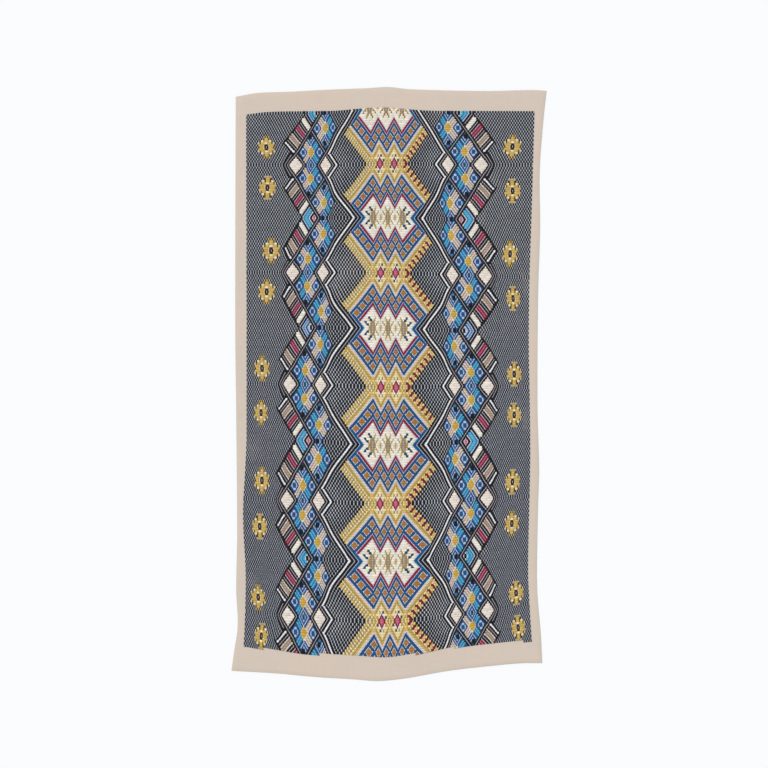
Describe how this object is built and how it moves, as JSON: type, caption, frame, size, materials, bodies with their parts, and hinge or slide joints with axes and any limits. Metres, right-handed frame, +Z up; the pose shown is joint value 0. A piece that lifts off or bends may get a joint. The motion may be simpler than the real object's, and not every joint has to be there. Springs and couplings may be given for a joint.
{
  "type": "brocade fabric panel",
  "caption": "Hand-woven cotton panel with a brocaded field of zigzags, lozenges, suns and star flowers, and plain ecru margins; lies flat, to show, sew or line.",
  "frame": {"origin": "on the underside, at the centre of the cloth's box in width and length", "axes": "+X across the cloth to its right side, +Y along the warp to its top end, +Z up out of its face"},
  "size_m": [0.5324, 1.0038, 0.002],
  "materials": {
    "brocade_cotton": "dry matt cotton, plain ecru ground with thick pattern wefts"
  },
  "bodies": {
    "root": {"brocade_panel": "brocade_cotton"}
  },
  "joints": []
}
